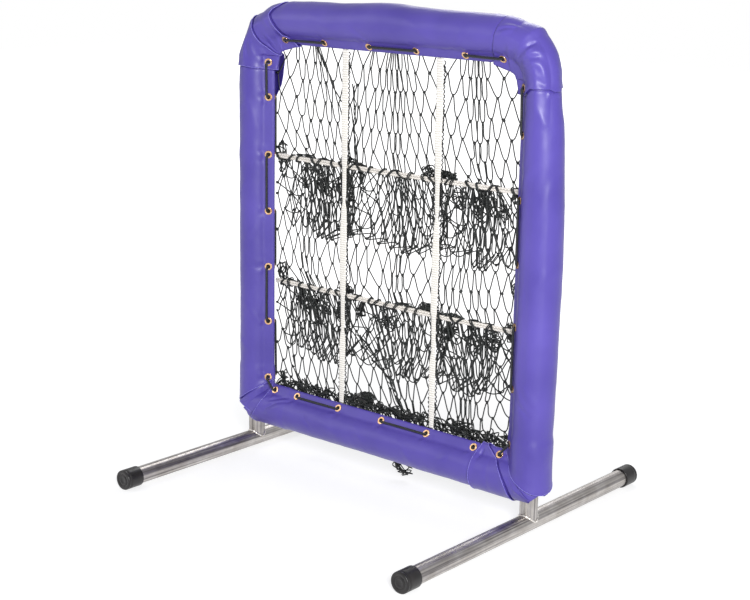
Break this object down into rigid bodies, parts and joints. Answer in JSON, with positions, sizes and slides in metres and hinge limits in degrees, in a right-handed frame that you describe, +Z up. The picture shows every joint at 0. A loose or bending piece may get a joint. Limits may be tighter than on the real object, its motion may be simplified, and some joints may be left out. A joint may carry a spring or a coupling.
{
  "type": "pitching target net",
  "caption": "Free-standing padded steel frame on two floor feet, with net pockets laced behind a grid of straps and ropes for throwing practice.",
  "frame": {"origin": "on the floor, at the middle of the bounding box's base", "axes": "+X to the thrower's right, -Y towards the thrower, +Z up"},
  "size_m": [0.809, 0.748, 0.9747],
  "materials": {
    "galvanised_tube": "bright galvanised",
    "weld_bead": "satin",
    "cap_rubber": "matte",
    "foam": "closed-cell foam",
    "vinyl": "coated cloth, satin",
    "grommet_brass": "polished",
    "lace_cord": "braided cord",
    "rope": "braided rope",
    "webbing": "woven webbing",
    "net_twine": "knotted twine"
  },
  "bodies": {
    "padded_frame": {"hoop": "galvanised_tube", "crossbar": "galvanised_tube", "left_foam": "foam", "left_strap": "webbing", "left_cover": "vinyl", "right_foam": "foam", "right_strap": "webbing", "right_cover": "vinyl", "top_foam": "foam", "bottom_foam": "foam", "top_left_foam": "foam", "top_right_foam": "foam", "top_cover": "vinyl", "bottom_cover": "vinyl", "top_left_cover": "vinyl", "top_right_cover": "vinyl", "bottom_left_cover": "vinyl", "bottom_right_cover": "vinyl", "left_grommets": "grommet_brass", "right_grommets": "grommet_brass", "top_grommets": "grommet_brass", "bottom_grommets": "grommet_brass", "corner_grommets": "grommet_brass", "left_lace": "lace_cord", "right_lace": "lace_cord", "top_lace": "lace_cord", "bottom_lace": "lace_cord", "upper_rope": "rope", "lower_rope": "rope", "top_left_pocket": "net_twine", "top_middle_pocket": "net_twine", "top_right_pocket": "net_twine", "middle_left_pocket": "net_twine", "middle_middle_pocket": "net_twine", "middle_right_pocket": "net_twine", "bottom_left_pocket": "net_twine", "bottom_middle_pocket": "net_twine", "bottom_right_pocket": "net_twine"},
    "left_foot": {"left_foot_tube": "galvanised_tube", "left_foot_post": "galvanised_tube", "left_foot_weld": "weld_bead", "left_front_cap": "cap_rubber", "left_back_cap": "cap_rubber"},
    "right_foot": {"right_foot_tube": "galvanised_tube", "right_foot_post": "galvanised_tube", "right_foot_weld": "weld_bead", "right_front_cap": "cap_rubber", "right_back_cap": "cap_rubber"}
  },
  "joints": [
    {"name": "left_foot_lift_off", "type": "slide", "parent": "padded_frame", "child": "left_foot", "axis": [0, 0, -1], "range_m": [0, 0.126]},
    {"name": "right_foot_lift_off", "type": "slide", "parent": "padded_frame", "child": "right_foot", "axis": [0, 0, -1], "range_m": [0, 0.126]}
  ]
}
